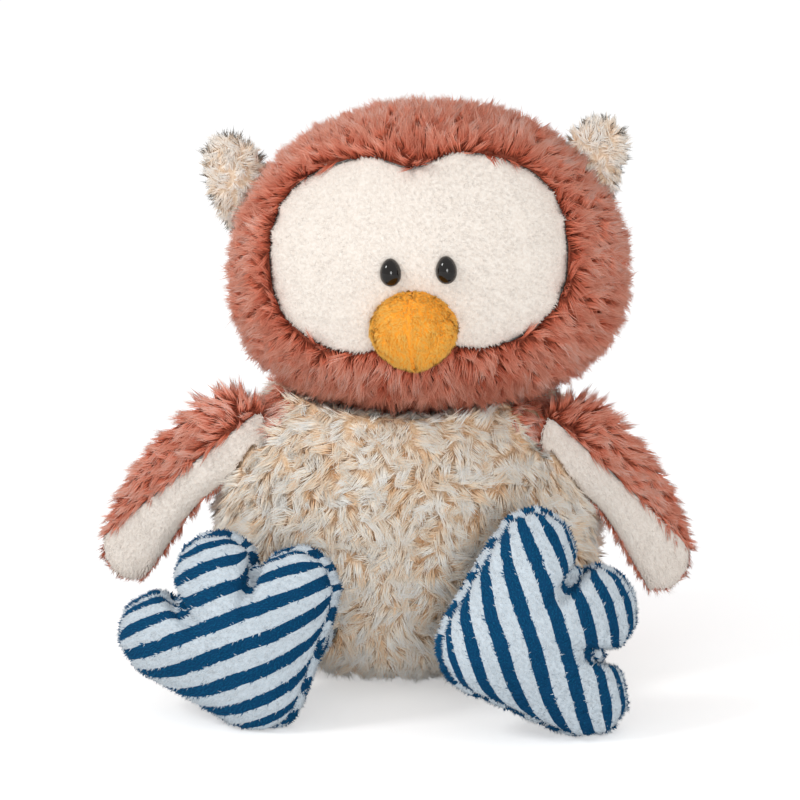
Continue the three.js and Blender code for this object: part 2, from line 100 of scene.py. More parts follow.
def vertex_values(mesh, name="co"):
    found = np.empty(len(mesh.vertices) * 3)
    mesh.vertices.foreach_get(name, found)
    return found.reshape(-1, 3)


def triangles_of(mesh):
    mesh.calc_loop_triangles()
    corners = np.empty(len(mesh.loop_triangles) * 3, int)
    mesh.loop_triangles.foreach_get("vertices", corners)
    return corners.reshape(-1, 3)


def new_mesh_object(name, points, faces):
    mesh = bpy.data.meshes.new(name)
    mesh.from_pydata(np.asarray(points).tolist(), [], np.asarray(faces).tolist())
    obj = bpy.data.objects.new(name, mesh)
    bpy.context.scene.collection.objects.link(obj)
    return obj


def finished(obj, material, body):
    obj.data.materials.clear()
    obj.data.materials.append(material)
    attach(obj, body)
    return obj


def node_mesh(node):
    """A node's points and triangles, with the loose corners joined."""
    places = vertex_values(nodes[node].data)
    corners = triangles_of(nodes[node].data).ravel()
    _, first, joined = np.unique(np.round(places, 6), axis=0, return_index=True, return_inverse=True)
    faces = joined.ravel()[corners].reshape(-1, 3)
    whole = (faces[:, 0] != faces[:, 1]) & (faces[:, 1] != faces[:, 2]) & (faces[:, 2] != faces[:, 0])
    return places[first], faces[whole]


def joined_meshes(parts):
    points, faces, count = [], [], 0
    for own_points, own_faces in parts:
        points.append(own_points)
        faces.append(own_faces + count)
        count += len(own_points)
    return np.concatenate(points), np.concatenate(faces)


def face_facts(points, faces):
    """Each face's area and each point's normal."""
    across = np.cross(points[faces[:, 1]] - points[faces[:, 0]], points[faces[:, 2]] - points[faces[:, 0]])
    at_points = np.zeros_like(points)
    for corner in range(3):
        np.add.at(at_points, faces[:, corner], across)
    return np.linalg.norm(across, axis=1) / 2, unit(at_points)


meshes = {node: node_mesh(node) for node in sorted(nodes)}
all_points, all_faces = joined_meshes(meshes.values())
everything = BVHTree.FromPolygons(all_points.tolist(), all_faces.tolist())


def room_above(points, normals, most, lift):
    """How far each point sees along its normal before it meets another piece."""
    found = np.full(len(points), most)
    for i, (point, normal) in enumerate(zip(points, normals)):
        _, _, _, distance = everything.ray_cast(Vector(point + normal * lift), Vector(normal), most)
        if distance is not None:
            found[i] = distance
    return found


# The cells lie askew, so that no row of roots shows as a pattern
cell_turn = turning(("X", 35.0), ("Y", 40.0), ("Z", 25.0))
throws_per_cell = 3.2


def thinned(points, spacing):
    """The indices of about one point for each cell of the spacing."""
    cells = np.floor(points @ cell_turn / spacing).astype(int)
    return np.sort(np.unique(cells, axis=0, return_index=True)[1])


# Pile: one strand is modelled, then copied along every root. Strands lean together into tufts.

def tapered_strand():
    """A closed three-sided strand, 1 wide and 1 long, as points and triangles."""
    bpy.ops.object.select_all(action="DESELECT")
    bpy.ops.mesh.primitive_cone_add(vertices=3, radius1=0.5, radius2=0, depth=1, location=(0, 0, 0.5))
    cone = bpy.context.object
    bpy.ops.object.mode_set(mode="EDIT")
    bpy.ops.mesh.select_all(action="SELECT")
    bpy.ops.mesh.quads_convert_to_tris()
    bpy.ops.object.mode_set(mode="OBJECT")
    points = vertex_values(cone.data)
    points[:, 2] = np.round(points[:, 2] + cone.location.z, 4).clip(0, 1)
    faces = triangles_of(cone.data).copy()
    bpy.data.objects.remove(cone)
    return points, faces


strand = tapered_strand()


class Roots:
    """Places on a cloth from which pile grows.

    With a middle given, only what faces away from it counts. With a filling, only what faces away from that.
    room is how much of most_room is free above each place.
    """

    def __init__(self, parts, *, spacing, seed, least_room=1.2 * mm, most_room=9 * mm, lift=0.05 * mm,
                 middle=None, filling=None):
        rng = np.random.default_rng(seed)
        own_points, own_faces = joined_meshes(parts)
        areas, at_points = face_facts(own_points, own_faces)
        number = int(throws_per_cell * areas.sum() / spacing**2)
        chosen = rng.choice(len(own_faces), number, p=areas / areas.sum())
        share, second = np.sqrt(rng.random(number)), rng.random(number)
        weights = np.stack((1 - share, share * (1 - second), share * second), 1)[:, :, None]
        corners = own_faces[chosen]
        points = (own_points[corners] * weights).sum(1)
        normals = unit((at_points[corners] * weights).sum(1))
        if middle is not None:
            outside = ((points - middle) * normals).sum(1) > 0
            points, normals = points[outside], normals[outside]
        if filling is not None:
            held = BVHTree.FromPolygons(meshes[filling][0].tolist(), meshes[filling][1].tolist())
            nearest = np.array([held.find_nearest(Vector(point))[0] for point in points])
            outside = ((points - nearest) * normals).sum(1) > 0
            points, normals = points[outside], normals[outside]
        kept = thinned(points, spacing)
        self.points, self.normals, self.rng = points[kept], normals[kept], rng
        self.room = room_above(self.points, self.normals, most_room, lift)
        self.keep(self.room > least_room)
        self.room /= most_room

    def keep(self, wanted):
        self.points, self.normals, self.room = self.points[wanted], self.normals[wanted], self.room[wanted]


strand_flatness = 0.55
root_depth = 0.5 * mm
map_margin = 0.02
map_strand_width = 0.012


def grown(name, roots, comb, tone, material, body, *, length, width, clump, rise, lay,
          pull=0.85, fray=0.0, curl=0.25, droop=0.0, softness=0.4, give=0.3, vary=0.07, shares=1.0,
          parts=("",), sorter=None):
    """A pile of strands that lean together into clumps.

    comb is the way that the pile lies. tone is its place on the colour ramps, from 0 to 1, and changes by
    vary. clump is how far apart the clumps are. rise stands the pile up, lay lays it down along comb, droop
    makes it hang and curl bends it aside. pull gathers the tips of a clump and fray spreads them. softness
    and give let its shading follow the cloth's. shares is how much of the length each root has. sorter gives
    each clump's part by its place, where the pile is made in several parts.
    """
    rng, points, normals = roots.rng, roots.points, roots.normals
    strand_points, strand_faces = strand
    number = len(points)
    heads = thinned(points + rng.normal(0, 0.1 * clump, points.shape), clump)
    tree = kdtree.KDTree(len(heads))
    for i, index in enumerate(heads):
        tree.insert(points[index], i)
    tree.balance()
    group = np.array([tree.find(point)[1] for point in points])

    # The path of each clump's middle
    n = normals[heads]
    d = flat_on(n, comb[heads])
    s = np.cross(n, d)
    levels = np.unique(strand_points[:, 2])
    turns, phase = rng.uniform(0.3, 0.8, len(heads)), rng.uniform(0, 2 * math.pi, len(heads))
    bend = rng.normal(0, curl, len(heads))
    steep = np.broadcast_to(rise, number)[heads] * rng.uniform(0.75, 1.25, len(heads))
    steps = [np.zeros_like(n)]
    for low, high in zip(levels[:-1], levels[1:]):
        t = (low + high) / 2
        side = bend + curl * np.sin(2 * math.pi * turns * t + phase)
        way = n * (steep * (1 - t) ** 1.2)[:, None] + d * (0.35 + lay * t) + s * side[:, None]
        way += down * droop * t
        steps.append(unit(way) * (high - low))
    path = np.cumsum(steps, axis=0)

    reach = length * shares * roots.room**0.7 * rng.uniform(0.82, 1.12, number)
    reach *= rng.uniform(0.85, 1.15, len(heads))[group] * (1 - rng.uniform(0, 0.35, number) * (fray > 0))
    to_middle = points[heads][group] - points
    reach *= 1 - 0.3 * np.clip(1.5 * np.linalg.norm(to_middle, axis=1) / clump, 0, 1)
    spread = rng.normal(0, 0.3 * width + fray, (number, 3))
    centres = np.empty((len(levels), number, 3))
    for i, level in enumerate(levels):
        gather = pull * level**0.8
        centres[i] = points - normals * root_depth + path[i][group] * reach[:, None]
        centres[i] += to_middle * gather + spread * level

    # Each strand's points, across and along its path
    at = np.searchsorted(levels, strand_points[:, 2])
    tangents = unit(np.gradient(centres, axis=0))
    sides = unit(np.cross(normals[None], tangents))
    ups = np.cross(tangents, sides)
    wide = width * rng.uniform(0.75, 1.25, number)
    places = np.empty((number, len(strand_points), 3))
    for i, (x, y, _) in enumerate(strand_points):
        across = sides[at[i]] * (x * wide)[:, None] + ups[at[i]] * (y * wide * strand_flatness)[:, None]
        places[:, i] = centres[at[i]] + across
    places[:, :, 2] = np.maximum(places[:, :, 2], strand_clearance)

    # On the map the tone runs across and the distance from the root runs up
    tones = tone + rng.normal(0, vary, len(heads))[group] + rng.normal(0, 1.1 * vary, number)
    tones = np.clip(tones, map_margin, 1 - map_margin)
    region = sorter(points[heads]) if sorter else np.zeros(len(heads), int)
    for part, suffix in enumerate(parts):
        chosen = np.flatnonzero(region[group] == part)
        count = len(chosen)
        first = np.arange(count) * len(strand_points)
        faces = (strand_faces[None] + first[:, None, None]).reshape(-1, 3)
        mesh = bpy.data.meshes.new(name + suffix)
        mesh.vertices.add(count * len(strand_points))
        mesh.vertices.foreach_set("co", places[chosen].ravel())
        mesh.loops.add(faces.size)
        mesh.loops.foreach_set("vertex_index", faces.ravel())
        mesh.polygons.add(len(faces))
        mesh.polygons.foreach_set("loop_start", np.arange(0, faces.size, 3))
        mesh.update(calc_edges=True)
        mesh.polygons.foreach_set("use_smooth", np.ones(len(faces), bool))
        across = tones[chosen][:, None] + map_strand_width * strand_points[None, :, 0]
        up = map_margin + (1 - 2 * map_margin) * strand_points[None, :, 2]
        along = np.broadcast_to(up, across.shape)
        spot = np.stack((across, along), -1).reshape(-1, 2)[faces.ravel()]
        layer = mesh.uv_layers.new(name="OFBake")
        layer.uv.foreach_set("vector", spot.ravel())
        own = vertex_values(mesh, "normal")
        cloth_normals = np.repeat(normals[chosen], len(strand_points), axis=0)
        share = softness * np.clip((own * cloth_normals).sum(1, keepdims=True) + give, 0, 1)
        mesh.normals_split_custom_set_from_vertices(unit(own * (1 - share) + cloth_normals * share))
        obj = bpy.data.objects.new(name + suffix, mesh)
        bpy.context.scene.collection.objects.link(obj)
        finished(obj, material, body)


# Materials

def ramp(tree, stops):
    node = tree.nodes.new("ShaderNodeValToRGB")
    elements = node.color_ramp.elements
    while len(elements) < len(stops):
        elements.new(0.5)
    for element, (position, colour) in zip(elements, stops):
        element.position = position
        element.color = (*colour, 1)
    return node


def printed(red, green, blue):
    """A colour in the scene's linear values, from its values from 0 to 255 on a screen."""
    levels = (red / 255, green / 255, blue / 255)
    return tuple(((level + 0.055) / 1.055) ** 2.4 if level > 0.04045 else level / 12.92 for level in levels)


def principled(name, roughness):
    material = bpy.data.materials.new(name)
    material.use_nodes = True
    shader = material.node_tree.nodes["Principled BSDF"]
    shader.inputs["Roughness"].default_value = roughness
    shader.inputs["Specular IOR Level"].default_value = 0.2
    return material, material.node_tree, shader


def colour_mix(tree, factor, below):
    """A Mix node that starts from the colour below. Returns its free socket and its output."""
    mix = tree.nodes.new("ShaderNodeMix")
    mix.data_type = "RGBA"
    tree.links.new(factor, mix.inputs["Factor"])
    tree.links.new(below, mix.inputs[6])
    return mix.inputs[7], mix.outputs[2]


def shared_group(name, inputs, outputs):
    """An empty node group that materials share, with its own input and output nodes."""
    group = bpy.data.node_groups.new(name, "ShaderNodeTree")
    for socket in inputs:
        group.interface.new_socket(socket, in_out="INPUT", socket_type="NodeSocketFloat")
    for socket in outputs:
        group.interface.new_socket(socket, in_out="OUTPUT", socket_type="NodeSocketFloat")
    return group, group.nodes.new("NodeGroupInput"), group.nodes.new("NodeGroupOutput")


# From the pile's map: a strand's tone, and how far a place on it is above the root and near the tip
pile_levels, _, levels_out = shared_group("pile_levels", (), ("Tone", "Above Root", "Near Tip"))
uv = pile_levels.nodes.new("ShaderNodeUVMap")
uv.uv_map = "OFBake"
uv_parts = pile_levels.nodes.new("ShaderNodeSeparateXYZ")
pile_levels.links.new(uv.outputs["UV"], uv_parts.inputs["Vector"])
pile_levels.links.new(uv_parts.outputs["X"], levels_out.inputs["Tone"])
for low, high, socket in ((0.0, 0.35, "Above Root"), (0.35, 0.95, "Near Tip")):
    share = pile_levels.nodes.new("ShaderNodeMapRange")
    share.inputs["From Min"].default_value = low
    share.inputs["From Max"].default_value = high
    pile_levels.links.new(uv_parts.outputs["Y"], share.inputs["Value"])
    pile_levels.links.new(share.outputs["Result"], levels_out.inputs[socket])

# A knit's fine grain
knit_grain, grain_in, grain_out = shared_group("knit_grain", ("Scale",), ("Grain",))
where = knit_grain.nodes.new("ShaderNodeTexCoord")
grain = knit_grain.nodes.new("ShaderNodeTexNoise")
grain.inputs["Detail"].default_value = 3
knit_grain.links.new(where.outputs["Object"], grain.inputs["Vector"])
knit_grain.links.new(grain_in.outputs["Scale"], grain.inputs["Scale"])
knit_grain.links.new(grain.outputs["Fac"], grain_out.inputs["Grain"])


def pile_material(name, roots, middles, tips):
    """Pile coloured from its root to its tip. Each of the three is a list of ramp stops over the tone."""
    material, tree, shader = principled(name, 0.8)
    levels = tree.nodes.new("ShaderNodeGroup")
    levels.node_tree = pile_levels
    colours = []
    for stops in (roots, middles, tips):
        node = ramp(tree, stops)
        tree.links.new(levels.outputs["Tone"], node.inputs["Fac"])
        colours.append(node.outputs["Color"])
    below = colours[0]
    for socket, above in (("Above Root", colours[1]), ("Near Tip", colours[2])):
        upper, below = colour_mix(tree, levels.outputs[socket], below)
        tree.links.new(above, upper)
    tree.links.new(below, shader.inputs["Base Color"])
    return material


def backing_material(name, dark, light, scale=900.0, depth=0.4 * mm, stripes=None):
    """The knitted ground that pile grows from, plain or with stripes of a second colour."""
    material, tree, shader = principled(name, 0.9)
    grain = tree.nodes.new("ShaderNodeGroup")
    grain.node_tree = knit_grain
    grain.inputs["Scale"].default_value = scale
    colours = ramp(tree, ((0.35, dark), (0.65, light)))
    tree.links.new(grain.outputs["Grain"], colours.inputs["Fac"])
    colour = colours.outputs["Color"]
    if stripes:
        cycle = tree.nodes.new("ShaderNodeAttribute")
        cycle.attribute_name = "stripe"
        part = tree.nodes.new("ShaderNodeMath")
        part.operation = "FRACT"
        tree.links.new(cycle.outputs["Fac"], part.inputs[0])
        inside = tree.nodes.new("ShaderNodeMath")
        inside.operation = "LESS_THAN"
        inside.inputs[1].default_value = stripe_share
        tree.links.new(part.outputs[0], inside.inputs[0])
        striped, colour = colour_mix(tree, inside.outputs[0], colour)
        striped.default_value = (*stripes, 1)
    tree.links.new(colour, shader.inputs["Base Color"])
    bump = tree.nodes.new("ShaderNodeBump")
    bump.inputs["Distance"].default_value = depth
    bump.inputs["Strength"].default_value = 0.6
    tree.links.new(grain.outputs["Grain"], bump.inputs["Height"])
    tree.links.new(bump.outputs["Normal"], shader.inputs["Normal"])
    return material


stripe_pitch = 11.2 * mm
stripe_share = 0.46  # of the darker colour
russet_pile = pile_material(
    "russet_pile",
    roots=((0.0, printed(116, 42, 24)), (1.0, printed(168, 76, 50))),
    middles=((0.0, printed(192, 92, 66)), (0.5, printed(228, 128, 98)), (1.0, printed(250, 164, 136))),
    tips=((0.0, printed(230, 138, 112)), (0.5, printed(255, 186, 162)), (1.0, printed(255, 234, 224))),
)
beige_pile = pile_material(
    "beige_pile",
    roots=((0.0, printed(204, 148, 100)), (1.0, printed(238, 206, 170))),
    middles=((0.0, printed(242, 198, 152)), (0.5, printed(255, 236, 211)), (1.0, printed(255, 250, 241))),
    tips=((0.0, printed(250, 222, 190)), (0.5, printed(255, 248, 237)), (1.0, printed(255, 254, 251))),
)
cream_pile = pile_material(
    "cream_pile",
    roots=((0.0, printed(236, 222, 210)), (1.0, printed(244, 233, 223))),
    middles=((0.0, printed(240, 228, 217)), (1.0, printed(247, 238, 229))),
    tips=((0.0, printed(242, 231, 221)), (1.0, printed(249, 241, 233))),
)
ear_pile = pile_material(
    "ear_pile",
    roots=((0.0, printed(226, 186, 150)), (1.0, printed(246, 228, 208))),
    middles=((0.0, printed(244, 216, 186)), (1.0, printed(255, 246, 236))),
    tips=((0.0, printed(250, 230, 208)), (1.0, printed(255, 252, 247))),
)
orange_pile = pile_material(
    "orange_pile",
    roots=((0.0, printed(255, 160, 44)), (1.0, printed(255, 176, 62))),
    middles=((0.0, printed(255, 174, 58)), (1.0, printed(255, 192, 86))),
    tips=((0.0, printed(255, 184, 74)), (1.0, printed(255, 212, 124))),
)
striped_pile = pile_material(
    "striped_pile",
    roots=((0.0, printed(0, 50, 84)), (0.47, printed(0, 60, 98)),
           (0.53, printed(178, 191, 200)), (1.0, printed(192, 204, 213))),
    middles=((0.0, printed(0, 74, 114)), (0.47, printed(0, 88, 132)),
             (0.53, printed(202, 212, 220)), (1.0, printed(214, 223, 230))),
    tips=((0.0, printed(0, 78, 120)), (0.47, printed(6, 102, 148)),
          (0.53, printed(216, 224, 231)), (1.0, printed(234, 240, 244))),
)
russet_backing = backing_material("russet_backing", printed(112, 52, 36), printed(146, 76, 56))
beige_backing = backing_material("beige_backing", printed(206, 168, 130), printed(232, 206, 176))
cream_backing = backing_material("cream_backing", printed(232, 221, 210), printed(243, 235, 226))
ear_backing = backing_material("ear_backing", printed(214, 184, 154), printed(236, 216, 194))
orange_backing = backing_material("orange_backing", printed(254, 156, 40), printed(255, 174, 62))
striped_backing = backing_material("striped_backing", printed(192, 204, 213), printed(208, 218, 226),
                                   stripes=printed(0, 64, 103))
fibre = backing_material("fibre", printed(225, 225, 220), printed(245, 245, 242), 300.0)
pellet_cloth = backing_material("pellet_cloth", printed(195, 188, 176), printed(212, 206, 194), 1500.0)
nylon = backing_material("nylon", printed(222, 219, 210), printed(232, 230, 222), 200.0, 0.05 * mm)

# What shows of the model as it is. The covers close over the neck's stuffing, so it has their cloth.
plain = {
    "eye_washer_left": nylon,
    "eye_washer_right": nylon,
    "pellet_bag": pellet_cloth,
    "neck_stuffing": russet_backing,
}
for node, obj in nodes.items():
    obj.data.materials.clear()
    obj.data.materials.append(plain.get(node, fibre))


# Cloth under the pile

def backing(name, node, material, body):
    """A cover's own cloth, with its corners joined and its facets rounded."""
    obj = new_mesh_object(name, *meshes[node])
    only(obj)
    bpy.ops.object.mode_set(mode="EDIT")
    bpy.ops.mesh.select_all(action="SELECT")
    bpy.ops.mesh.remove_doubles(threshold=0.02 * mm)
    bpy.ops.mesh.tris_convert_to_quads(face_threshold=math.radians(25), shape_threshold=math.radians(40))
    bpy.ops.object.mode_set(mode="OBJECT")
    rounding = obj.modifiers.new("rounding", "SUBSURF")
    rounding.levels = rounding.render_levels = 1
    bpy.ops.object.modifier_apply(modifier=rounding.name)
    bpy.ops.object.shade_smooth_by_angle(angle=math.radians(60))
    finished(obj, material, body)
    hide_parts(node)
    return obj


backing("belly_cloth", "body_belly_panel", beige_backing, "torso")
backing("back_cloth", "body_back_panel", russet_backing, "torso")
backing("head_cloth", "head_cover", russet_backing, "head")
face_cloth = backing("face_cloth", "face_mask", cream_backing, "head")
backing("beak_left_cloth", "beak_left_panel", orange_backing, "head")
backing("beak_right_cloth", "beak_right_panel", orange_backing, "head")
for side in ("left", "right"):
    backing(f"ear_{side}_cloth", f"ear_{side}", ear_backing, "head")
    wing = f"wing_{side}"
    backing(f"{wing}_outer_cloth", f"{wing}_outer", russet_backing, wing)
    backing(f"{wing}_lining_cloth", f"{wing}_lining", cream_backing, wing)


# Feet and legs: one stuffed skin each, blown up by its filling

def stuffed(name, node_names, material, body, *, voxel, slack, cap):
    """One skin round the nodes, let out by a negative slack and blown up by up to cap."""
    points, faces = joined_meshes([meshes[node] for node in node_names])
    obj = new_mesh_object(name, points, faces)
    only(obj)
    obj.data.remesh_voxel_size = voxel
    bpy.ops.object.voxel_remesh()
    start = vertex_values(obj.data) - vertex_values(obj.data, "normal") * slack
    obj.data.vertices.foreach_set("co", start.ravel())
    obj.data.update()
    filling = obj.modifiers.new("filling", "CLOTH")
    filling.settings.use_pressure = True
    filling.settings.uniform_pressure_force = 8
    filling.settings.effector_weights.gravity = 0
    for step in range(1, 21):
        bpy.context.scene.frame_set(step)
    blown = obj.evaluated_get(bpy.context.evaluated_depsgraph_get())
    moves = vertex_values(blown.data) - start
    obj.modifiers.remove(filling)
    bpy.context.scene.frame_set(1)
    moves -= moves.mean(0)
    far = np.linalg.norm(moves, axis=1, keepdims=True)
    start = start + moves * np.minimum(1, cap / np.maximum(far, 1e-9))
    start[:, 2] = np.maximum(start[:, 2], cloth_clearance)
    obj.data.vertices.foreach_set("co", start.ravel())
    obj.data.update()
    rounding = obj.modifiers.new("rounding", "SUBSURF")
    rounding.levels = rounding.render_levels = 1
    bpy.ops.object.modifier_apply(modifier=rounding.name)
    bpy.ops.object.shade_smooth()
    finished(obj, material, body)
    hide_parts(*node_names)
    return obj


# The feet's frames, as the model turns them
foot_places = {
    "left": np.array((-63.0, -77.0, 31.3)) * mm,
    "right": np.array((45.0, -91.0, 39.4)) * mm,
}
foot_turns = {
    "left": turning(("Z", -15.0), ("X", -12.0), ("Y", -24.0)),
    "right": turning(("Z", 12.0), ("X", -12.0), ("Y", 75.0)),
}

# The creases between the toes, which fan out from the heel
crease_angles = (23.0, -22.0)
crease_start = np.array((0.0, 0.0, -18.0)) * mm
crease_shallow, crease_deep = 14 * mm, 40 * mm  # from the start
crease_depth, crease_width = 3.0 * mm, 2.6 * mm


def toe_creases(points, side):
    """How deep the cloth is drawn in along the lines between the toes."""
    sense = -1.0 if side == "left" else 1.0
    from_start = (points - foot_places[side]) @ foot_turns[side] - crease_start
    depth = np.zeros(len(points))
    for angle in crease_angles:
        way = np.array((sense * math.sin(math.radians(angle)), 0.0, math.cos(math.radians(angle))))
        along = from_start @ way
        aside = np.abs(from_start[:, 0] * way[2] - from_start[:, 2] * way[0])
        deep = np.interp(along, (crease_shallow, crease_deep), (0, crease_depth))
        depth += deep * np.exp(-((aside / crease_width) ** 2))
    return depth


dark_tone, light_tone = 0.25, 0.77
seam_above = 4 * mm  # the sole panel's lowest level
seam_depth, seam_width = 1.1 * mm, 1.3 * mm
seam_roll = 12 * mm  # so far from the seam the stripes run on over the edge
for side in ("left", "right"):
    matrix = foot_turns[side]
    heel_to_toe, to_front = matrix[:, 2], -matrix[:, 1]
    seam = (meshes[f"foot_{side}_sole_panel"][0] @ to_front).min() + seam_above
    foot_nodes = [f"foot_{side}_{part}" for part in ("sole_panel", "back_panel", "stuffing")]
    leg_nodes = [f"leg_{side}_{part}" for part in ("sleeve", "stuffing")]
    foot = stuffed(f"foot_{side}_cloth", foot_nodes, striped_backing, f"foot_{side}",
                   voxel=2.4 * mm, slack=-3.9 * mm, cap=5 * mm)
    leg = stuffed(f"leg_{side}_cloth", leg_nodes, striped_backing, f"leg_{side}",
                  voxel=2.6 * mm, slack=0.6 * mm, cap=1.5 * mm)

    hip, ankle = (np.array(joints[name]["pos_m"]) for name in (f"leg_{side}_raise", f"foot_{side}_roll"))
    for piece, leg_part, seed in ((foot, False, 71), (leg, True, 72)):
        points, normals = vertex_values(piece.data), vertex_values(piece.data, "normal")
        if not leg_part:
            # The seam draws the cloth in between sole and back, and creases run in from between the toes
            depth = seam_depth * np.exp(-(((points @ to_front - seam) / seam_width) ** 2))
            depth += toe_creases(points, side)
            points = points - normals * depth[:, None]
            points[:, 2] = np.maximum(points[:, 2], cloth_clearance)
            piece.data.vertices.foreach_set("co", points.ravel())
            piece.data.update()
            normals = vertex_values(piece.data, "normal")

        def stripe_cycle(places, ways):
            """A place's stripe: round the leg, or across the foot and over its edge to the seam."""
            wander = 0.04 * swirl(places, 8 * mm, 4.4)
            if leg_part:
                return (places - hip) @ unit(ankle - hip) / stripe_pitch + 0.2 + wander
            height = np.abs(places @ to_front - seam)
            cloth_way = places @ heel_to_toe
            cloth_way = cloth_way + (ways @ heel_to_toe) * np.clip(seam_roll - height, 0, None)
            behind = places @ to_front < seam
            return cloth_way / stripe_pitch + wander + 0.45 * behind

        cycle = piece.data.attributes.new("stripe", "FLOAT", "POINT")
        cycle.data.foreach_set("value", stripe_cycle(points, normals).astype(np.float32))
        roots = Roots([(points, triangles_of(piece.data))], spacing=0.72 * mm, seed=seed,
                      least_room=1.0 * mm, most_room=3 * mm, lift=1.5 * mm)
        in_stripe = np.mod(stripe_cycle(roots.points, roots.normals), 1.0) < stripe_share
        tone = np.where(in_stripe, dark_tone, light_tone)
        comb = np.cross(roots.normals, flat_on(roots.normals, heel_to_toe))
        comb = turned(comb, roots.normals, 1.2 * swirl(roots.points, 3 * mm, 2.2))
        grown(piece.name.replace("cloth", "pile"), roots, comb, tone, striped_pile,
              f"{'leg' if leg_part else 'foot'}_{side}",
              length=2.1 * mm, width=0.75 * mm, clump=1.3 * mm, rise=1.4, lay=0.4, pull=0.4, curl=0.2,
              vary=0.04)


# Head pile: it lies outwards from the face, back over the sides and the crown, and down behind
head_roots = Roots([meshes["head_cover"]], spacing=0.62 * mm, seed=11, middle=head_place)
from_face = head_roots.points - mask_middle
outwards = unit(from_face - head_forward * (from_face @ head_forward)[:, None])
facing = (unit(head_roots.points - head_place) @ head_forward)[:, None]
head_comb = outwards * np.clip(facing + 0.35, 0, 1) - head_forward * (1.1 - np.abs(facing))
head_comb += down * (0.2 + np.clip(-facing, 0, 1))
head_comb = flat_on(head_roots.normals, head_comb)
head_comb = turned(head_comb, head_roots.normals, 0.6 * swirl(head_roots.points, 11 * mm, 3.1))
face_tree = BVHTree.FromPolygons(meshes["face_mask"][0].tolist(), meshes["face_mask"][1].tolist())
from_mask = np.array([face_tree.find_nearest(Vector(point))[3] for point in head_roots.points])
# The tone wanders at random, and is lowered close to the mask as painted shade where the head's pile meets
# the face
head_tone_and_shade = 0.52 + 0.3 * swirl(head_roots.points, 12 * mm, 5.3) - 0.4 * np.exp(-from_mask / (4 * mm))


def head_quarter(points):
    """Which part of the head's pile a place is in."""
    local = (points - head_place) @ head_matrix
    return (local[:, 0] > 0).astype(int) + 2 * (local[:, 1] > 0)


# Under the face the pile is longer, and its tone is lowered there as painted shade under the beak and face;
# round the mask it stands up
below = -unit(head_roots.points - head_place) @ head_up
chin = np.clip(below - 0.45, 0, 0.4) / 0.4 * np.clip(facing[:, 0] + 0.3, 0, 1)
grown("head_pile", head_roots, head_comb, head_tone_and_shade - 0.42 * chin, russet_pile, "head",
      length=10.6 * mm, width=0.58 * mm, clump=4.0 * mm, rise=1.05 + 1.6 * np.exp(-from_mask / (3 * mm)),
      lay=0.5, droop=0.12, pull=0.5, fray=0.55 * mm, curl=0.4, vary=0.13, shares=1 + 0.45 * chin,
      parts=("_front_left", "_front_right", "_rear_left", "_rear_right"), sorter=head_quarter)

# Body pile. Round the wings' roots the back's russet pile comes over the shoulders to the front.
shoulders = [np.array(joints[f"wing_{side}_lift"]["pos_m"]) for side in ("left", "right")]
shoulder_reach = 20 * mm
least_height = 1.5 * mm
for name, node, seed, spacing, pile, cloth_slot, turn, curl in (
    ("belly_pile", "body_belly_panel", 21, 0.64 * mm, beige_pile, "beige_pile", 3.4, 0.5),
    ("shoulder_pile", "body_belly_panel", 23, 0.7 * mm, russet_pile, "russet_pile", 1.2, 0.35),
    ("back_pile", "body_back_panel", 22, 0.7 * mm, russet_pile, "russet_pile", 3.4, 0.5),
):
    roots = Roots([meshes[node]], spacing=spacing, seed=seed, least_room=1.5 * mm, middle=body_middle)
    roots.keep(roots.points[:, 2] > least_height)
    if node == "body_belly_panel":
        from_each = [np.linalg.norm(roots.points - place, axis=1) for place in shoulders]
        from_shoulder = np.min(from_each, axis=0)
        from_shoulder += 2 * mm * swirl(roots.points, 5 * mm, 6.1)
        from_shoulder += np.clip(shoulders[0][2] - roots.points[:, 2], 0, None)
        roots.keep((from_shoulder < shoulder_reach) == (name == "shoulder_pile"))
    comb = flat_on(roots.normals, down + 0.15 * unit(roots.points - body_middle))
    comb = turned(comb, roots.normals, turn * swirl(roots.points, 12 * mm, seed))
    tone = 0.6 + 0.6 * swirl(roots.points, 6 * mm, seed + 0.5)
    grown(name, roots, comb, tone, pile, "torso",
          length=10 * mm, width=0.6 * mm, clump=4.4 * mm, rise=1.2, lay=0.5, droop=0.15, pull=0.5,
          fray=0.6 * mm, curl=curl, vary=0.16, softness=0.85, give=0.6,
          parts=("_left", "_right"), sorter=lambda places: (places[:, 0] > 0).astype(int))

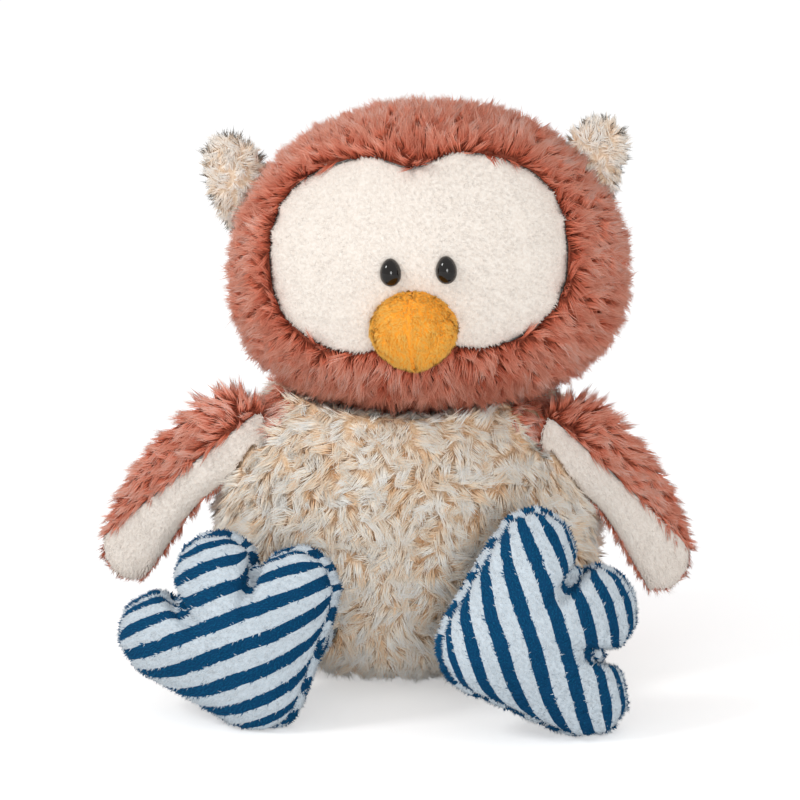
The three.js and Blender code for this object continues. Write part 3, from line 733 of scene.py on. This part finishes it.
# Wings
for side in ("left", "right"):
    root = np.array(joints[f"wing_{side}_lift"]["pos_m"])
    own = meshes[f"wing_{side}_outer"][0]
    tip = own[np.argmax(np.linalg.norm(own - root, axis=1))]
    along = unit(tip - root)
    outer_way = np.array((-1.0 if side == "left" else 1.0, 0.0, 0.0))
    roots = Roots([meshes[f"wing_{side}_outer"]], spacing=0.62 * mm, seed=31, least_room=1.0 * mm,
                  filling=f"wing_{side}_wadding")
    down_wing = (roots.points - root) @ along / np.linalg.norm(tip - root)
    across_wing = unit(outer_way - along * (outer_way @ along))
    inner_side = np.clip(-(roots.points - root) @ across_wing / (14 * mm), 0, 1)
    at_root = np.exp(-((np.clip(down_wing, 0, None) / 0.16) ** 2))
    comb = along * (1 - at_root)[:, None] + outer_way * (0.5 + 0.6 * inner_side)[:, None]
    comb = flat_on(roots.normals, comb - down * 0.7 * at_root[:, None])
    comb = turned(comb, roots.normals, 0.5 * swirl(roots.points, 9 * mm, 2.2))
    tone = 0.55 + 0.3 * swirl(roots.points, 10 * mm, 1.3)
    shares = np.interp(down_wing, (0.0, 0.12, 0.3, 0.7, 1.0), (1.25, 1.3, 1.1, 1.0, 0.7))
    shares *= 1 - 0.4 * inner_side * (down_wing > 0.3)
    grown(f"wing_{side}_pile", roots, comb, tone, russet_pile, f"wing_{side}",
          length=9.2 * mm, width=0.58 * mm, clump=4.0 * mm, rise=1.0 + 1.1 * at_root, lay=0.6, droop=0.1,
          pull=0.5, fray=0.55 * mm, curl=0.3, vary=0.13, shares=shares)
    roots = Roots([meshes[f"wing_{side}_lining"]], spacing=0.65 * mm, seed=32, least_room=1.0 * mm,
                  most_room=3 * mm, filling=f"wing_{side}_wadding")
    comb = flat_on(roots.normals, along + 0.2 * down)
    comb = turned(comb, roots.normals, 0.5 * swirl(roots.points, 8 * mm, 2.2))
    tone = 0.35 + 0.35 * swirl(roots.points, 8 * mm, 1.3)
    grown(f"wing_{side}_lining_pile", roots, comb, tone, cream_pile, f"wing_{side}",
          length=2.0 * mm, width=0.75 * mm, clump=1.3 * mm, rise=1.0, lay=0.8, softness=0.9, give=0.6)

# Face. Its pile is longer along the head's cover, and keeps its length under the cover's pile.
face_mesh = (vertex_values(face_cloth.data), triangles_of(face_cloth.data))
roots = Roots([face_mesh], spacing=0.6 * mm, seed=41, least_room=-1, most_room=3 * mm, lift=0.8 * mm,
              middle=head_place)
roots.room = np.maximum(roots.room, 0.6)
cover_tree = BVHTree.FromPolygons(meshes["head_cover"][0].tolist(), meshes["head_cover"][1].tolist())
from_cover = np.array([cover_tree.find_nearest(Vector(point))[3] for point in roots.points])
from_face = roots.points - mask_middle
comb = flat_on(roots.normals, unit(from_face) + 0.3 * down)
comb = turned(comb, roots.normals, 0.6 * swirl(roots.points, 14 * mm, 2.2))
tone = 0.4 + 0.2 * swirl(roots.points, 12 * mm, 1.3)
grown("face_pile", roots, comb, tone, cream_pile, "head",
      length=2.0 * mm, width=0.65 * mm, clump=1.4 * mm, rise=1.0, lay=0.8, pull=0.4,
      softness=0.92, give=0.7, shares=1 + 0.9 * np.exp(-from_cover / (1.5 * mm)))

# Beak
for side in ("left", "right"):
    roots = Roots([meshes[f"beak_{side}_panel"]], spacing=0.55 * mm, seed=51, least_room=0.8 * mm,
                  most_room=3 * mm, filling="beak_stuffing")
    comb = flat_on(roots.normals, down + head_forward * 0.4)
    comb = turned(comb, roots.normals, 2.4 * swirl(roots.points, 5 * mm, 2.2))
    tone = 0.55 + 0.4 * swirl(roots.points, 3 * mm, 1.3)
    grown(f"beak_{side}_pile", roots, comb, tone, orange_pile, "head",
          length=1.9 * mm, width=0.6 * mm, clump=1.1 * mm, rise=1.2, lay=0.6, pull=0.4, curl=0.4,
          softness=0.95, give=0.9)

# The beak's two halves meet in a seam: a thread round them, which follows their cloth
beak_points, beak_faces = joined_meshes([meshes["beak_left_panel"], meshes["beak_right_panel"]])
beak_tree = BVHTree.FromPolygons(beak_points.tolist(), beak_faces.tolist())
across_seam = head_matrix[:, 0]
seam_middle = (beak_points.max(0) + beak_points.min(0)) / 2
seam_middle -= across_seam * ((seam_middle - head_place) @ across_seam + 1 * mm)
thread_width, thread_depth = 12 * mm, 1 * mm
outside, beak_radius = 40 * mm, 6 * mm
bpy.ops.object.select_all(action="DESELECT")
bpy.ops.mesh.primitive_torus_add(major_radius=1, minor_radius=0.1, major_segments=64, minor_segments=8)
beak_seam = bpy.context.object
beak_seam.name = beak_seam.data.name = "beak_seam"
points = vertex_values(beak_seam.data)
ways = unit(head_forward * points[:, :1] + head_up * points[:, 1:2])
thick = (np.hypot(points[:, 0], points[:, 1]) - 1) * 9 * mm
aside_of = points[:, 2] * thread_width
for i, way in enumerate(ways):
    starts = [seam_middle + way * outside + across_seam * aside for aside in (-mm, mm)]
    hits = [beak_tree.ray_cast(Vector(start), Vector(-way))[3] for start in starts]
    far = outside - min((hit for hit in hits if hit), default=outside - beak_radius)
    points[i] = seam_middle + way * (far - thread_depth + thick[i]) + across_seam * aside_of[i]
beak_seam.data.vertices.foreach_set("co", points.ravel())
beak_seam.data.update()
bpy.ops.object.shade_smooth()
finished(beak_seam, orange_backing, "head")

# Ears
for side in ("left", "right"):
    roots = Roots([meshes[f"ear_{side}"]], spacing=0.62 * mm, seed=61)
    middle = roots.points.mean(0)
    comb = flat_on(roots.normals, 0.2 * head_up + unit(roots.points - middle))
    comb = turned(comb, roots.normals, 2.8 * swirl(roots.points, 5 * mm, 2.2))
    tone = 0.65 + 0.6 * swirl(roots.points, 4 * mm, 1.3)
    grown(f"ear_{side}_pile", roots, comb, tone, ear_pile, "head",
          length=6.4 * mm, width=0.75 * mm, clump=2.6 * mm, rise=1.6, lay=0.5, pull=0.5,
          fray=0.4 * mm, curl=0.6, vary=0.16, softness=0.8, give=0.6)


# Eyes: egg-shaped gloss domes on the face. Sizes of the head's form in mm, as the model has them.
head_wide, head_deep, head_high, head_round = 77.0, 57.0, 66.0, 2.1


def head_front(x, z):
    """How far forward the head's form lies, in its own frame."""
    level = 1 - abs(z / head_high) ** head_round - abs(x / head_wide) ** head_round
    return -head_deep * level ** (1 / head_round)


def eye_matrix(x, z):
    """The place and turn of an eye on the face, in metres."""
    step = 0.08
    y = head_front(x, z)
    across = Vector((step, head_front(x + step, z) - y, 0))
    along = Vector((0, head_front(x, z + step) - y, step))
    outwards = across.cross(along).normalized()
    spin = Vector((0, -1, 0)).rotation_difference(outwards).to_matrix()
    matrix = Matrix(head_matrix.tolist()) @ spin
    place = Vector(head_place) + Matrix(head_matrix.tolist()) @ (Vector((x, y, z)) * mm)
    return Matrix.Translation(place) @ matrix.to_4x4()


def eye_piece(name, x, z):
    wide, high, dome = 8.0 * mm, 10.6 * mm, 4.4 * mm
    bpy.ops.object.select_all(action="DESELECT")
    bpy.ops.mesh.primitive_uv_sphere_add(segments=40, ring_count=24, radius=1)
    eye = bpy.context.object
    eye.name = eye.data.name = name
    bpy.ops.object.mode_set(mode="EDIT")
    bpy.ops.mesh.bisect(plane_co=(0, 0.35, 0), plane_no=(0, 1, 0), clear_outer=True, use_fill=True)
    bpy.ops.object.mode_set(mode="OBJECT")
    points = vertex_values(eye.data)
    narrow = 1 - 0.1 * points[:, 2]
    points *= np.array((wide / 2, dome, high / 2))
    points[:, 0] *= narrow
    eye.data.vertices.foreach_set("co", points.ravel())
    eye.data.transform(eye_matrix(x, z))
    bpy.ops.object.shade_smooth_by_angle(angle=math.radians(40))
    return eye


eye_black = bpy.data.materials.new("eye_black")
eye_black.use_nodes = True
shader = eye_black.node_tree.nodes["Principled BSDF"]
shader.inputs["Base Color"].default_value = (0.006, 0.004, 0.003, 1)
shader.inputs["Roughness"].default_value = 0.05
for side, x in (("left", -8.6), ("right", 12.4)):
    dome = finished(eye_piece(f"eye_{side}_dome", x, 6.6), eye_black, "head")
    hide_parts(f"eye_{side}")


# Floor, light and camera

def area_light(name, place, target, size, watts):
    data = bpy.data.lights.new(name, "AREA")
    data.shape = "DISK"
    data.size = size
    data.energy = watts
    light = bpy.data.objects.new(name, data)
    bpy.context.scene.collection.objects.link(light)
    light.location = place
    light.rotation_euler = (Vector(target) - Vector(place)).to_track_quat("-Z", "Y").to_euler()


area_light("key", (-1.7, -0.7, 1.6), (0, 0, 0.11), 0.6, 16)
area_light("fill", (0.3, -1.7, 0.4), (0, 0, 0.1), 0.6, 7.8)

bpy.ops.object.select_all(action="DESELECT")
bpy.ops.mesh.primitive_plane_add(size=8, location=(0, 0, 0))
floor = bpy.context.object
floor.name = "floor"
floor_white, tree, shader = principled("floor_white", 0.9)
shader.inputs["Base Color"].default_value = (0.86, 0.86, 0.86, 1)
shader.inputs["Specular IOR Level"].default_value = 0.0
shader.inputs["Emission Color"].default_value = (1, 1, 1, 1)
seen = tree.nodes.new("ShaderNodeLightPath")
glow = tree.nodes.new("ShaderNodeMath")
glow.operation = "MULTIPLY"
glow.inputs[1].default_value = 0.41
tree.links.new(seen.outputs["Is Camera Ray"], glow.inputs[0])
tree.links.new(glow.outputs[0], shader.inputs["Emission Strength"])
floor.data.materials.append(floor_white)

world = bpy.data.worlds.new("studio")
bpy.context.scene.world = world
world.use_nodes = True
tree = world.node_tree
background = tree.nodes["Background"]
seen = tree.nodes.new("ShaderNodeLightPath")
level = tree.nodes.new("ShaderNodeMix")
level.data_type = "FLOAT"
level.inputs[2].default_value = 0.7  # as light on the object
level.inputs[3].default_value = 1.0  # as the camera sees it
tree.links.new(seen.outputs["Is Camera Ray"], level.inputs[0])
tree.links.new(level.outputs[0], background.inputs["Strength"])
background.inputs["Color"].default_value = (1, 1, 1, 1)

camera_data = bpy.data.cameras.new("camera")
camera_data.lens = 135
camera_data.sensor_width = 36
camera = bpy.data.objects.new("camera", camera_data)
bpy.context.scene.collection.objects.link(camera)
camera.location = (-0.0032, -1.1692, 0.3774)
camera.rotation_euler = Euler((math.radians(90 - 13), 0, 0))
bpy.context.scene.camera = camera

bpy.context.scene.view_settings.view_transform = "Standard"
